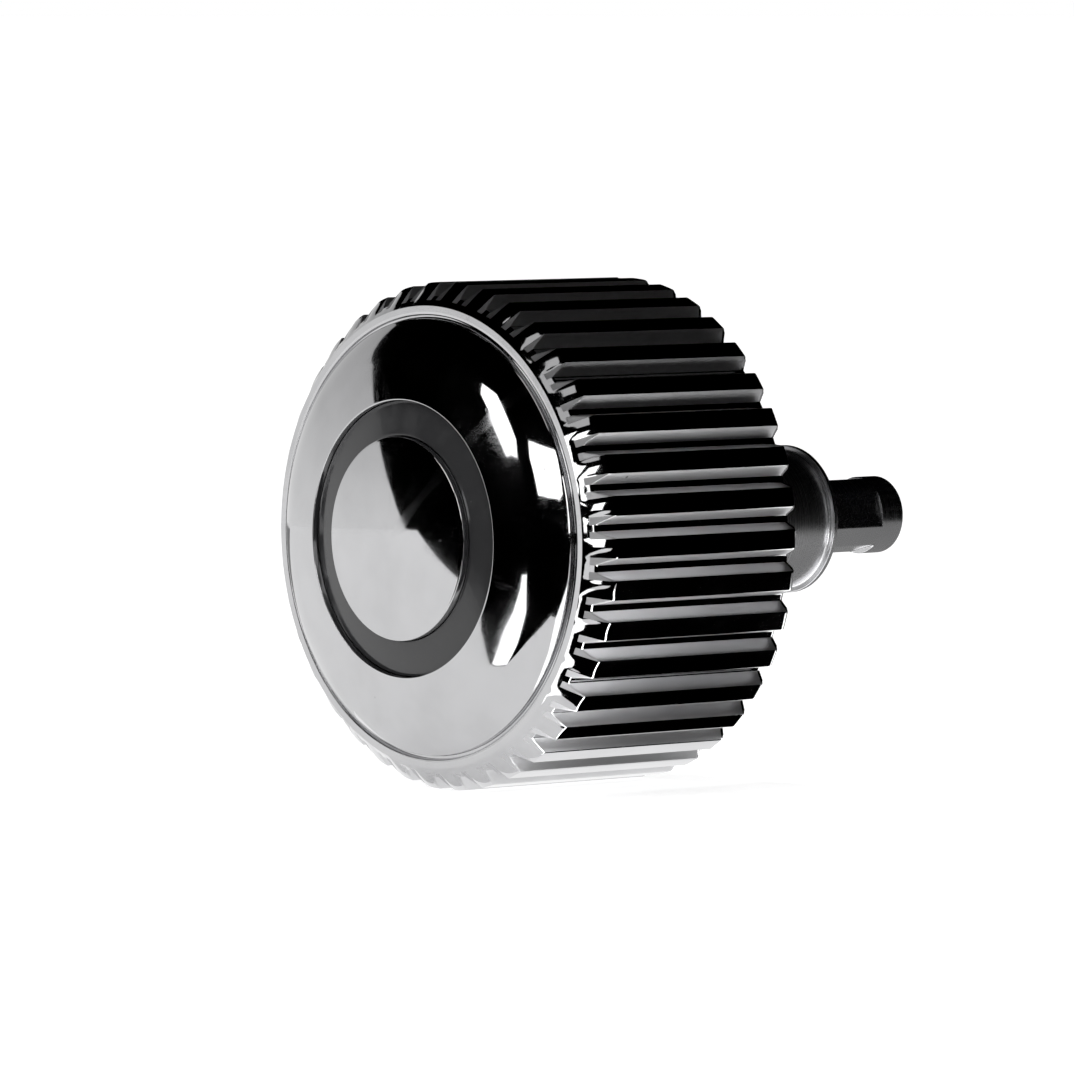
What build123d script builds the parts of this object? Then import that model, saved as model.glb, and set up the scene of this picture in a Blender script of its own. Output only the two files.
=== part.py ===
from build123d import *
from math import atan2, cos, degrees, radians, sin, sqrt, tan
import os

# Screw-down watch crown: a domed, fluted steel head with a post, and in the post a
# stem coupler that is pushed out by a coil spring.
# Frame: millimetres, the crown's axis is Y. The head's seat face lies in the plane Y = 0,
# the dome looks along -Y, the post and the coupler stand out along +Y, and +Z is up.

# Head, outside
head_radius = 3.5
head_length = 3.7            # seat face to the foot of the dome
rim_width = 0.5              # the fluted rim around the dome
dome_height = 0.63
dome_edge_radius = 1.2       # the dome's crowned middle rolls over its edge on this radius
dome_edge_slope = 45.0       # degrees, how steeply the dome meets its foot
foot_groove_width = 0.06     # fine groove turned around the foot of the dome
foot_groove_depth = 0.09
front_step = 0.045           # how far behind the dome's foot the rim starts
bevel_land = 0.12            # flat ring between the groove and the bevel of the rim
bevel_drop = 0.37            # how far back the bevel runs along the rim
bevel_crown = 0.02           # how far the middle of the bevel stands out of its chord
rear_edge_radius = 0.13      # rounding of the flutes' rear ends

# Flutes
flute_count = 38
flute_width = 0.31           # across the mouth of a groove
flute_floor_width = 0.10
flute_depth = 0.19

# Groove and inlay on the dome
inlay_radius = 1.65          # middle of the ring
inlay_width = 0.5
inlay_groove_depth = 0.15
inlay_thickness = 0.06

# Head, inside
tube_thread_radius = 2.15    # bottom of the internal thread for the case tube
tube_thread_depth = 0.15
tube_thread_pitch = 0.35
mouth_chamfer = 0.1
mouth_land = 0.05            # plain wall between the chamfer and the thread, at least
cavity_relief = 0.05         # the gasket's chamber is this much wider than the thread
head_front = 1.0             # solid steel from the cavity's floor to the foot of the dome
socket_depth = 0.6           # how deep the post is pressed in below the cavity's floor

# Post
post_radius = 0.96
post_reach = 3.07            # seat face to the end of the post
post_wall = 0.26
post_rim_height = 0.09       # the rim at the end stands this far out of the post
post_rim_length = 0.08
post_rim_chamfer = 0.02
post_floor = 0.3             # closed front end under the spring
ring_groove_place = 1.05     # seat face to the near side of the sealing ring's groove
ring_groove_depth = 0.13

# Guide bush at the post's end
bush_wall = 0.1              # what the bush's seat leaves of the post
bush_thickness = 0.25
bush_inset = 0.03            # the post's rim stands proud of it

# Stem coupler
piston_shoulder = 0.15       # the bore is this much wider than the neck, all round
neck_end_radius = 0.12       # rounding of the free end
flat_depth = 0.065           # how deep each flat is milled into the neck
flat_turn = 14.0             # degrees, the first flat faces a little above +X
coupler_reach = 1.78         # how far the coupler stands out of the post
collar_length = 0.43         # round part behind the flats
piston_length = 0.46
pilot_length = 0.3           # short nose inside the spring
stem_hole_wall = 0.19        # what the hole leaves of the round collar
stem_hole_depth = 1.9        # without the drill's point
stem_hole_point = 118.0      # degrees, the drill's point
stem_hole_chamfer = 0.04

# Spring and its washer
wire_diameter = 0.2
spring_turns = 10
washer_thickness = 0.15

# Seals
gasket_section = 0.5
gasket_washer_thickness = 0.2
ring_section = 0.26

# Clearances
press_gap = 0.01             # pieces pressed or set into one another
rubber_gap = 0.01            # a rubber ring in its seat
running_gap = 0.015          # the neck in the bush
bore_gap = 0.02              # the piston in the post
spring_gap = 0.09            # the spring in the post, and around the pilot
washer_gap = 0.04            # the spring's washer in the post
stop_gap = 0.01              # the piston behind the bush
pilot_gap = 0.03             # the washer on the coupler's pilot
gasket_washer_gap = 0.07     # the gasket's washer in its chamber
gasket_washer_reach = 0.29   # the gasket's washer around the post
thread_end_gap = 0.03        # the gasket's washer below the thread
overrun = 0.3                # how far a cutter passes the surface that it cuts

# Radii that follow from these
dome_radius = head_radius - rim_width
cavity_radius = tube_thread_radius + cavity_relief
post_rim_radius = post_radius + post_rim_height
bore_radius = post_radius - post_wall
bush_radius = post_radius - bush_wall
neck_radius = bore_radius - piston_shoulder
flat_width = 2 * (neck_radius - flat_depth)
stem_hole_radius = neck_radius - stem_hole_wall
spring_radius = bore_radius - spring_gap - wire_diameter / 2
pilot_radius = spring_radius - wire_diameter / 2 - spring_gap
gasket_radius = (post_radius + cavity_radius) / 2

# Places along the axis
dome_foot_y = -head_length
cavity_floor_y = dome_foot_y + head_front
socket_floor_y = cavity_floor_y - socket_depth
spring_front_y = socket_floor_y + post_floor
bush_rear_y = post_reach - bush_inset
bush_front_y = bush_rear_y - bush_thickness
piston_rear_y = bush_front_y - stop_gap
piston_front_y = piston_rear_y - piston_length
washer_front_y = piston_front_y - washer_thickness
coupler_end_y = post_reach + coupler_reach
flats_end_y = coupler_end_y - collar_length
gasket_y = cavity_floor_y + rubber_gap + gasket_section / 2
gasket_washer_front_y = gasket_y + gasket_section / 2 + rubber_gap
thread_end_y = gasket_washer_front_y + gasket_washer_thickness + thread_end_gap


def turned(*edges):
    """Solid of revolution about the Y axis, from the edges of its half outline."""
    return revolve(make_face(edges), Axis.Y)


def turned_points(*points):
    """Solid of revolution about the Y axis, from straight runs between (radius, Y) points."""
    return turned(Polyline(*points, close=True))


def arc_point(centre_r, centre_y, radius, angle):
    """Point on an arc, with the angle in degrees from the -Y direction towards +radius."""
    turn = radians(angle)
    return (centre_r + radius * sin(turn), centre_y - radius * cos(turn))


def arc(centre_r, centre_y, radius, start, end):
    """Arc about a centre between two angles, counted as in arc_point."""
    angles = (start, (start + end) / 2, end)
    return ThreePointArc(*[arc_point(centre_r, centre_y, radius, angle) for angle in angles])


def rear_round(side_r, rear_y, radius):
    """Quarter arc that rounds the corner between a side and the face behind it."""
    return arc(side_r - radius, rear_y - radius, radius, 90, 180)


def dome_edge_centre():
    """Centre of the arc at the dome's edge, as (radius, Y)."""
    foot = radians(dome_edge_slope)
    return (
        dome_radius - dome_edge_radius * sin(foot),
        dome_foot_y + dome_edge_radius * cos(foot),
    )


def dome_middle():
    """Radius and centre of the dome's middle arc, and the slope where the edge arc starts."""
    edge_r, edge_y = dome_edge_centre()
    rise = dome_height - dome_edge_radius + (edge_y - dome_foot_y)
    join = 2 * atan2(rise, edge_r)
    reach = edge_r / sin(join)
    return reach + dome_edge_radius, edge_y + reach * cos(join), degrees(join)


def dome_level(radius, depth):
    """Point of the dome's middle at a radius, moved into the steel by a depth."""
    middle_radius, middle_y, _ = dome_middle()
    return (radius, middle_y - sqrt((middle_radius - depth) ** 2 - radius**2))


def tube_thread_points():
    """Half outline of the internal thread, from the head's mouth to the gasket's chamber."""
    crest = tube_thread_radius - tube_thread_depth
    turns = int((-thread_end_y - mouth_chamfer - mouth_land) / tube_thread_pitch)
    points = [(crest, thread_end_y + turns * tube_thread_pitch)]
    for turn in reversed(range(turns)):
        crest_y = thread_end_y + turn * tube_thread_pitch
        points += [(tube_thread_radius, crest_y + tube_thread_pitch / 2), (crest, crest_y)]
    return points


def head_blank():
    """The turned head before its flutes and its inlay groove are cut."""
    middle_radius, middle_y, join = dome_middle()
    middle = arc(0, middle_y, middle_radius, 0, join)
    edge = arc(*dome_edge_centre(), dome_edge_radius, join, dome_edge_slope)
    groove_r = dome_radius + foot_groove_width
    groove_y = dome_foot_y + foot_groove_depth
    bevel_r = groove_r + bevel_land
    front_y = dome_foot_y + front_step
    bevel_y = dome_foot_y + bevel_drop
    foot = Polyline(
        edge @ 1, (dome_radius, groove_y), (groove_r, groove_y), (groove_r, front_y), (bevel_r, front_y)
    )
    bevel = ThreePointArc(
        foot @ 1,
        ((bevel_r + head_radius) / 2, (front_y + bevel_y) / 2 - bevel_crown),
        (head_radius, bevel_y),
    )
    rear = rear_round(head_radius, 0, rear_edge_radius)
    thread = tube_thread_points()
    socket_r = post_radius + press_gap
    inside = Polyline(
        rear @ 1,
        (thread[0][0] + mouth_chamfer, 0),
        (thread[0][0], -mouth_chamfer),
        *thread,
        (cavity_radius, thread_end_y),
        (cavity_radius, cavity_floor_y),
        (socket_r, cavity_floor_y),
        (socket_r, socket_floor_y),
        (0, socket_floor_y),
        middle @ 0,
    )
    return turned(middle, edge, foot, bevel, Line(bevel @ 1, rear @ 0), rear, inside)


def flute_cutter():
    """One groove's cutter on the +X side: narrow at its floor and wide outside the rim."""
    floor_r = head_radius - flute_depth
    side_slope = (flute_width - flute_floor_width) / 2 / flute_depth
    outer_half = flute_width / 2 + side_slope * overrun
    corners = [
        (floor_r, -flute_floor_width / 2),
        (head_radius + overrun, -outer_half),
        (head_radius + overrun, outer_half),
        (floor_r, flute_floor_width / 2),
    ]
    section = Plane.XZ.offset(-overrun) * make_face(Polyline(*corners, close=True))
    return extrude(section, head_length + dome_height + 2 * overrun)


def inlay_ring(top_depth, floor_depth, width):
    """Ring about the dome's middle, between two depths that follow the dome."""
    inner, centre, outer = (inlay_radius + side * width / 2 for side in (-1, 0, 1))
    top = ThreePointArc(*[dome_level(radius, top_depth) for radius in (inner, centre, outer)])
    floor = ThreePointArc(*[dome_level(radius, floor_depth) for radius in (inner, centre, outer)])
    return turned(top, Line(top @ 1, floor @ 1), floor, Line(floor @ 0, top @ 0))


def crown_head():
    """Domed head with its flutes, its inlay groove and its threaded cavity."""
    cutter = flute_cutter()
    step = 360 / flute_count
    flutes = [cutter.rotate(Axis.Y, (place + 0.5) * step) for place in range(flute_count)]
    return head_blank() - flutes - inlay_ring(-overrun, inlay_groove_depth, inlay_width)


def face_inlay():
    """Dark lacquer on the floor of the dome's groove."""
    top_depth = inlay_groove_depth - inlay_thickness
    return inlay_ring(top_depth, inlay_groove_depth, inlay_width - 2 * press_gap)


def post():
    """Tube pressed into the head, with the sealing ring's groove and a rim at its end."""
    groove_r = post_radius - ring_groove_depth
    groove_end_y = ring_groove_place + ring_section + 2 * rubber_gap
    rim_y = post_reach - post_rim_length
    bush_seat_r = bush_radius + press_gap
    return turned_points(
        (0, socket_floor_y),
        (post_radius, socket_floor_y),
        (post_radius, ring_groove_place),
        (groove_r, ring_groove_place),
        (groove_r, groove_end_y),
        (post_radius, groove_end_y),
        (post_radius, rim_y),
        (post_rim_radius, rim_y),
        (post_rim_radius, post_reach - post_rim_chamfer),
        (post_rim_radius - post_rim_chamfer, post_reach),
        (bush_seat_r, post_reach),
        (bush_seat_r, bush_front_y),
        (bore_radius, bush_front_y),
        (bore_radius, spring_front_y),
        (0, spring_front_y),
    )


def round_bar(radius, front_y, rear_y):
    """Round bar on the axis between two places."""
    return turned_points((0, front_y), (radius, front_y), (radius, rear_y), (0, rear_y))


def square_bar(across, front_y, rear_y):
    """Square bar on the axis, turned so that its first side faces flat_turn above +X."""
    bar = Pos(0, (front_y + rear_y) / 2, 0) * Box(across, rear_y - front_y, across)
    return bar.rotate(Axis.Y, -flat_turn)


def neck_bar(gap, front_y, rear_y):
    """The flatted neck between two places, grown by a gap all round."""
    return round_bar(neck_radius + gap, front_y, rear_y) & square_bar(flat_width + 2 * gap, front_y, rear_y)


def guide_bush():
    """Disc at the post's end whose square hole guides the coupler's neck."""
    disc = round_bar(bush_radius, bush_front_y, bush_rear_y)
    return disc - neck_bar(running_gap, bush_front_y - overrun, bush_rear_y + overrun)


def stem_coupler():
    """Piston, flatted neck and round collar in one piece, with the hole for the stem."""
    pilot = round_bar(pilot_radius, piston_front_y - pilot_length, piston_front_y)
    piston = round_bar(bore_radius - bore_gap, piston_front_y, piston_rear_y)
    corner = rear_round(neck_radius, coupler_end_y, neck_end_radius)
    rest = Polyline(
        corner @ 1, (0, coupler_end_y), (0, flats_end_y), (neck_radius, flats_end_y), corner @ 0
    )
    collar = turned(corner, rest)
    hole_floor_y = coupler_end_y - stem_hole_depth
    tip_y = hole_floor_y - stem_hole_radius / tan(radians(stem_hole_point / 2))
    mouth_r = stem_hole_radius + stem_hole_chamfer
    hole = turned_points(
        (0, tip_y),
        (stem_hole_radius, hole_floor_y),
        (stem_hole_radius, coupler_end_y - stem_hole_chamfer),
        (mouth_r, coupler_end_y),
        (mouth_r, coupler_end_y + overrun),
        (0, coupler_end_y + overrun),
    )
    return pilot + piston + neck_bar(0, piston_rear_y, flats_end_y) + collar - hole


def coil_spring():
    """Compression spring between the post's floor and the washer."""
    length = washer_front_y - spring_front_y - wire_diameter - 2 * rubber_gap
    centre = (0, spring_front_y + rubber_gap + wire_diameter / 2, 0)
    path = Helix(length / spring_turns, length, spring_radius, center=centre, direction=(0, 1, 0))
    section = Plane(origin=path @ 0, z_dir=path % 0) * Circle(wire_diameter / 2)
    return sweep(section, path, is_frenet=True)


def flat_washer(outer, inner, front_y, thickness):
    """Flat ring with its front face at the given place."""
    rear_y = front_y + thickness
    return turned_points((inner, front_y), (outer, front_y), (outer, rear_y), (inner, rear_y))


def rubber_ring(radius, place_y, section):
    """Ring of round rubber, by the middle of its section."""
    return revolve(Pos(radius, place_y) * Circle(section / 2), Axis.Y)


def spring_washer():
    """Thrust washer between the spring and the piston, on the coupler's pilot."""
    return flat_washer(bore_radius - washer_gap, pilot_radius + pilot_gap, washer_front_y, washer_thickness)


def gasket_washer():
    """Washer that holds the gasket at the root of the cavity."""
    outer, inner = cavity_radius - gasket_washer_gap, post_radius + gasket_washer_reach
    return flat_washer(outer, inner, gasket_washer_front_y, gasket_washer_thickness)


def post_o_ring():
    """Sealing ring in the post's groove."""
    root = post_radius - ring_groove_depth + rubber_gap
    place = ring_groove_place + rubber_gap + ring_section / 2
    return rubber_ring(root + ring_section / 2, place, ring_section)


pieces = {
    "crown_head": crown_head(),
    "face_inlay": face_inlay(),
    "post": post(),
    "guide_bush": guide_bush(),
    "stem_coupler": stem_coupler(),
    "coil_spring": coil_spring(),
    "spring_washer": spring_washer(),
    "crown_gasket": rubber_ring(gasket_radius, gasket_y, gasket_section),
    "gasket_washer": gasket_washer(),
    "post_o_ring": post_o_ring(),
}

os.makedirs("parts", exist_ok=True)
for name, piece in pieces.items():
    export_step(piece, f"parts/{name}.step")
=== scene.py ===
"""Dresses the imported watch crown: finely modelled pieces, steel, lacquer and rubber, and a photo studio."""

import logging
import math
from dataclasses import dataclass
from enum import Enum
from functools import cached_property
from typing import Any, Callable, Optional, Sequence, Union

import bpy
from mathutils import Matrix, Vector


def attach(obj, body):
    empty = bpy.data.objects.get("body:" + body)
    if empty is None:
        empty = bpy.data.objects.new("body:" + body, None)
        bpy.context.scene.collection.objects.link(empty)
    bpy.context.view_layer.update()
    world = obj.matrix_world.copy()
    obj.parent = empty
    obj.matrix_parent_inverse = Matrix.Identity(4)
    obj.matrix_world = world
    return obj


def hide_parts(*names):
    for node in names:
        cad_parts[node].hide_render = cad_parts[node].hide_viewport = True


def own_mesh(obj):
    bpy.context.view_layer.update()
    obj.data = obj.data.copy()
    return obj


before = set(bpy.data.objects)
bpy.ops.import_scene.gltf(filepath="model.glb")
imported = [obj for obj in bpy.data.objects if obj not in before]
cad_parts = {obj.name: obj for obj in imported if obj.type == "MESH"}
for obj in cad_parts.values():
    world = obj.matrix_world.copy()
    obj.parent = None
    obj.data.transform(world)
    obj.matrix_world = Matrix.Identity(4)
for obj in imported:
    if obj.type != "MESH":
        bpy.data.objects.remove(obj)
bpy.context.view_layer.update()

LOG = logging.getLogger("watch_crown")

Point = tuple[float, float]
Span = tuple[float, float]
Triple = tuple[float, float, float]
Colour = Triple

# Pieces are drawn in millimetres and brought to metres at the end, because the edge tools
# lose edges of a hundredth of a millimetre where one unit is a metre.
MILLIMETRE = 0.001
MERGE_MM = 0.0002
HOLD_MM = 0.012          # from a rounding to the point that keeps the side beside it flat
HOLD_ROOM = 3            # a rounding is held where its sides are longer than so many holds
SIDE_SHARE = 0.49        # the most of a side that one rounding takes
SMOOTH_DEG = 38.0
SHARP_DEG = 24.0
EDGE_FACES = 2
ROUND_FACES = 24         # around a rubber ring's section
COLUMNS = 128            # around the crown's axis, where a piece needs no finer
FULL_TURN = 2 * math.pi
FLUTES = 38
HALF_PITCH = 180 / FLUTES
WHITE: Colour = (1, 1, 1)


class Body(str, Enum):
    """The two bodies of the crown."""

    CROWN = "crown"
    COUPLER = "coupler"


# Outlines


def fillet(before: Point, corner: Point, after: Point, radius: float, steps: int) -> list[Point]:
    """Arc that rounds one corner of an outline.

    Args:
        before: The outline's point before the corner.
        corner: The corner, as (radius, Y) in millimetres.
        after: The point after the corner.
        radius: Radius of the rounding, which is made smaller where the sides are too short for it.
        steps: Number of straight runs in the arc.

    Returns:
        The arc's points, in the outline's order.
    """
    tip = Vector(corner)
    back, ahead = Vector(before) - tip, Vector(after) - tip
    half = back.angle(ahead) / 2
    run = min(radius / math.tan(half), SIDE_SHARE * back.length, SIDE_SHARE * ahead.length)
    reach = run * math.tan(half)
    middle = tip + (back.normalized() + ahead.normalized()).normalized() * (reach / math.sin(half))
    start, end = (side.normalized() * run + tip - middle for side in (back, ahead))
    first, last = math.atan2(start.y, start.x), math.atan2(end.y, end.x)
    sweep = (last - first + math.pi) % FULL_TURN - math.pi
    angles = [first + sweep * step / steps for step in range(steps + 1)]
    return [(middle.x + reach * math.cos(a), middle.y + reach * math.sin(a)) for a in angles]


def held(arc: list[Point], corner: Point) -> list[Point]:
    """Adds a point just before and after a rounding, so that the flat faces beside it shade flat.

    Args:
        arc: The rounding's points.
        corner: The corner that it rounds.

    Returns:
        The rounding between its two new points.
    """
    tip, ends = Vector(corner), (Vector(arc[0]), Vector(arc[-1]))
    hold = min(HOLD_MM, (ends[0] - tip).length)
    before, after = (end + (end - tip).normalized() * hold for end in ends)
    return [tuple(before), *arc, tuple(after)]


def rounded(
    corners: Sequence[Sequence[float]], closed: bool = False, steps: int = 3, hold: bool = False
) -> list[Point]:
    """Outline with its corners rounded.

    Args:
        corners: Corners as (radius, Y) or (radius, Y, rounding) in millimetres.
        closed: Whether the last corner is joined to the first.
        steps: Straight runs in each rounding.
        hold: Whether a point is added on both sides of each rounding.

    Returns:
        The outline's points as (radius, Y).
    """
    points: list[Point] = []
    count = len(corners)
    for place, corner in enumerate(corners):
        tip, at_end = tuple(corner[:2]), not closed and place in (0, count - 1)
        if len(corner) == 2 or at_end:
            points.append(tip)
            continue
        before, after = (tuple(corners[(place + side) % count][:2]) for side in (-1, 1))
        arc = fillet(before, tip, after, corner[2], steps)
        roomy = min(math.dist(before, arc[0]), math.dist(arc[-1], after)) > HOLD_ROOM * HOLD_MM
        points += held(arc, tip) if hold and roomy else arc
    return points


def arc_points(centre: Point, radius: float, start: float, end: float, steps: int) -> list[Point]:
    """Points on an arc from start to end, in degrees from the -Y direction towards the outside."""
    angles = [math.radians(start + (end - start) * step / steps) for step in range(steps + 1)]
    return [(centre[0] + radius * math.sin(a), centre[1] - radius * math.cos(a)) for a in angles]


def ring_outline(inner: float, outer: float, front: float, rear: float, edge: float) -> list[Point]:
    """Closed outline of a flat ring between two radii and two Ys, with one rounding for all its edges."""
    corners = [(inner, front, edge), (outer, front, edge), (outer, rear, edge), (inner, rear, edge)]
    return rounded(corners, closed=True, hold=True)


# Meshes


class Blank:
    """A mesh on the bench, in millimetres and in edit mode until it is finished."""

    def __init__(
        self, name: str, primitive: Callable[..., Any] = bpy.ops.mesh.primitive_plane_add, **settings: Any
    ) -> None:
        """Starts a mesh as a primitive on the crown's axis, in edit mode with everything selected.

        Args:
            name: The piece's name.
            primitive: The operator that adds the primitive.
            settings: The operator's settings.
        """
        bpy.ops.object.select_all(action="DESELECT")
        primitive(**settings)
        self.object = bpy.context.object
        self.object.name = self.object.data.name = name
        bpy.ops.object.mode_set(mode="EDIT")
        bpy.ops.mesh.select_all(action="SELECT")

    @classmethod
    def grid(cls, name: str, columns: int, rows: int, place: Callable[[float, float], Vector]) -> "Blank":
        """Starts a mesh as a grid that is laid over a surface.

        Args:
            name: The piece's name.
            columns: Faces along the first way.
            rows: Faces along the second way.
            place: Gives the place of a grid point from its column and row.

        Returns:
            The blank, in edit mode.
        """
        blank = cls(
            name, bpy.ops.mesh.primitive_grid_add, x_subdivisions=columns, y_subdivisions=rows, size=1,
        )
        bpy.ops.object.mode_set(mode="OBJECT")
        for vertex in blank.object.data.vertices:
            column, row = (round((way + 0.5) * count) for way, count in zip(vertex.co, (columns, rows)))
            vertex.co = place(column, row)
        bpy.ops.object.mode_set(mode="EDIT")
        return blank

    def draw(self, line: Sequence[Sequence[float]], closed: bool = False) -> "Blank":
        """Draws a line, point by point.

        Args:
            line: Places as (radius, Y) or (X, Y, Z) in millimetres.
            closed: Whether the last is joined to the first.

        Returns:
            The blank.
        """
        places = [Vector(place).to_3d() for place in line]
        bpy.ops.mesh.merge(type="CENTER")
        bpy.ops.transform.translate(value=places[0])
        for here, there in zip(places, [*places[1:], *(places[:1] if closed else [])]):
            bpy.ops.mesh.extrude_region_move(TRANSFORM_OT_translate={"value": there - here})
        return self

    def spin(self, steps: int, copies: bool = False) -> "Blank":
        """Turns the mesh once about the crown's axis.

        Args:
            steps: Columns around the axis, or the number of copies.
            copies: Whether the mesh is repeated rather than drawn round.

        Returns:
            The blank.
        """
        bpy.ops.mesh.select_all(action="SELECT")
        bpy.ops.mesh.spin(steps=steps, dupli=copies, angle=FULL_TURN, center=(0, 0, 0), axis=(0, 1, 0))
        return self.weld()

    def weld(self) -> "Blank":
        """Merges vertices that share a place and turns all faces outwards.

        Returns:
            The blank.
        """
        bpy.ops.mesh.select_all(action="SELECT")
        bpy.ops.mesh.remove_doubles(threshold=MERGE_MM)
        bpy.ops.mesh.select_all(action="SELECT")
        bpy.ops.mesh.normals_make_consistent(inside=False)
        return self

    def press_flats(self, wanted: Callable[[Vector], bool], level: float, turn: float) -> "Blank":
        """Presses vertices onto the four sides of a square, as milled flats, and turns the mesh.

        Args:
            wanted: Test on a vertex's place.
            level: The flats' distance from the crown's axis.
            turn: Turn of the mesh about that axis in degrees, from +X towards +Z.

        Returns:
            The blank.
        """
        for axis, side in ((0, -1), (0, 1), (2, -1), (2, 1)):
            bpy.ops.mesh.select_all(action="DESELECT")
            bpy.ops.object.mode_set(mode="OBJECT")
            for vertex in self.object.data.vertices:
                vertex.select = vertex.co[axis] * side > level and wanted(vertex.co)
            bpy.ops.object.mode_set(mode="EDIT")
            centre, scale = Vector((0, 0, 0)), Vector((1, 1, 1))
            centre[axis], scale[axis] = side * level, 0
            bpy.ops.transform.resize(value=scale, center_override=centre)
        bpy.ops.mesh.select_all(action="SELECT")
        bpy.ops.transform.rotate(value=math.radians(turn), orient_axis="Y", center_override=(0, 0, 0))
        return self.weld()

    def round_edges(self, wanted: Callable[[Vector], bool], width: float) -> None:
        """Rounds the sharp edges of one region.

        Args:
            wanted: Test on the place of an edge's middle.
            width: Width of the rounding in millimetres.
        """
        bpy.ops.mesh.select_all(action="DESELECT")
        bpy.ops.mesh.select_mode(type="EDGE")
        bpy.ops.mesh.edges_select_sharp(sharpness=math.radians(SHARP_DEG))
        bpy.ops.object.mode_set(mode="OBJECT")
        mesh = self.object.data
        for edge in mesh.edges:
            if edge.select:
                first, last = (mesh.vertices[end].co for end in edge.vertices)
                edge.select = wanted((first + last) / 2)
        bpy.ops.object.mode_set(mode="EDIT")
        bpy.ops.mesh.bevel(offset=width, segments=EDGE_FACES, affect="EDGES")
        bpy.ops.mesh.select_mode(type="VERT")

    def finish(self) -> bpy.types.Object:
        """Brings the mesh to metres, smooths it and leaves edit mode.

        Returns:
            The finished object, at the origin, unturned and unscaled.
        """
        bpy.ops.mesh.select_all(action="SELECT")
        bpy.ops.transform.resize(value=(MILLIMETRE,) * 3, center_override=(0, 0, 0))
        bpy.ops.object.mode_set(mode="OBJECT")
        bpy.ops.object.shade_smooth_by_angle(angle=math.radians(SMOOTH_DEG))
        even = self.object.modifiers.new("even_normals", "WEIGHTED_NORMAL")
        even.keep_sharp = True
        bpy.ops.object.modifier_apply(modifier=even.name)
        return self.object


def turned(
    name: str, outline: Sequence[Point], columns: int = COLUMNS, closed: bool = True
) -> bpy.types.Object:
    """Makes a piece on the lathe; a closed outline is a ring's, which doesn't reach the axis."""
    return Blank(name).draw(outline, closed).spin(columns).finish()


# Finishes


class Value:
    """A socket's value in a material, which is reckoned with as a number is."""

    def __init__(self, recipe: "Recipe", socket: bpy.types.NodeSocket) -> None:
        """Wraps one output socket."""
        self.recipe, self.socket = recipe, socket

    def reckon(self, operation: str, *others: "Number", swapped: bool = False) -> "Value":
        """Adds a Math node on this value and others, which come before it where they are swapped."""
        terms = (*others, self) if swapped else (self, *others)
        return self.recipe.add("ShaderNodeMath", {"operation": operation}, dict(enumerate(terms)))

    def __add__(self, other: "Number") -> "Value":
        """Sum."""
        return self.reckon("ADD", other)

    def __sub__(self, other: "Number") -> "Value":
        """Difference."""
        return self.reckon("SUBTRACT", other)

    def __rsub__(self, other: "Number") -> "Value":
        """Difference, with this value taken from the other."""
        return self.reckon("SUBTRACT", other, swapped=True)

    def __mul__(self, other: "Number") -> "Value":
        """Product."""
        return self.reckon("MULTIPLY", other)

    def __pow__(self, other: "Number") -> "Value":
        """Power."""
        return self.reckon("POWER", other)

    __radd__ = __add__
    __rmul__ = __mul__

    def ramp(self, low: float, high: float) -> "Value":
        """Smooth step from 0 at low to 1 at high, which may be below low."""
        span = {"Value": self, "From Min": low, "From Max": high}
        return self.recipe.add("ShaderNodeMapRange", {"interpolation_type": "SMOOTHSTEP"}, span)


Number = Union[Value, float]


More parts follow.
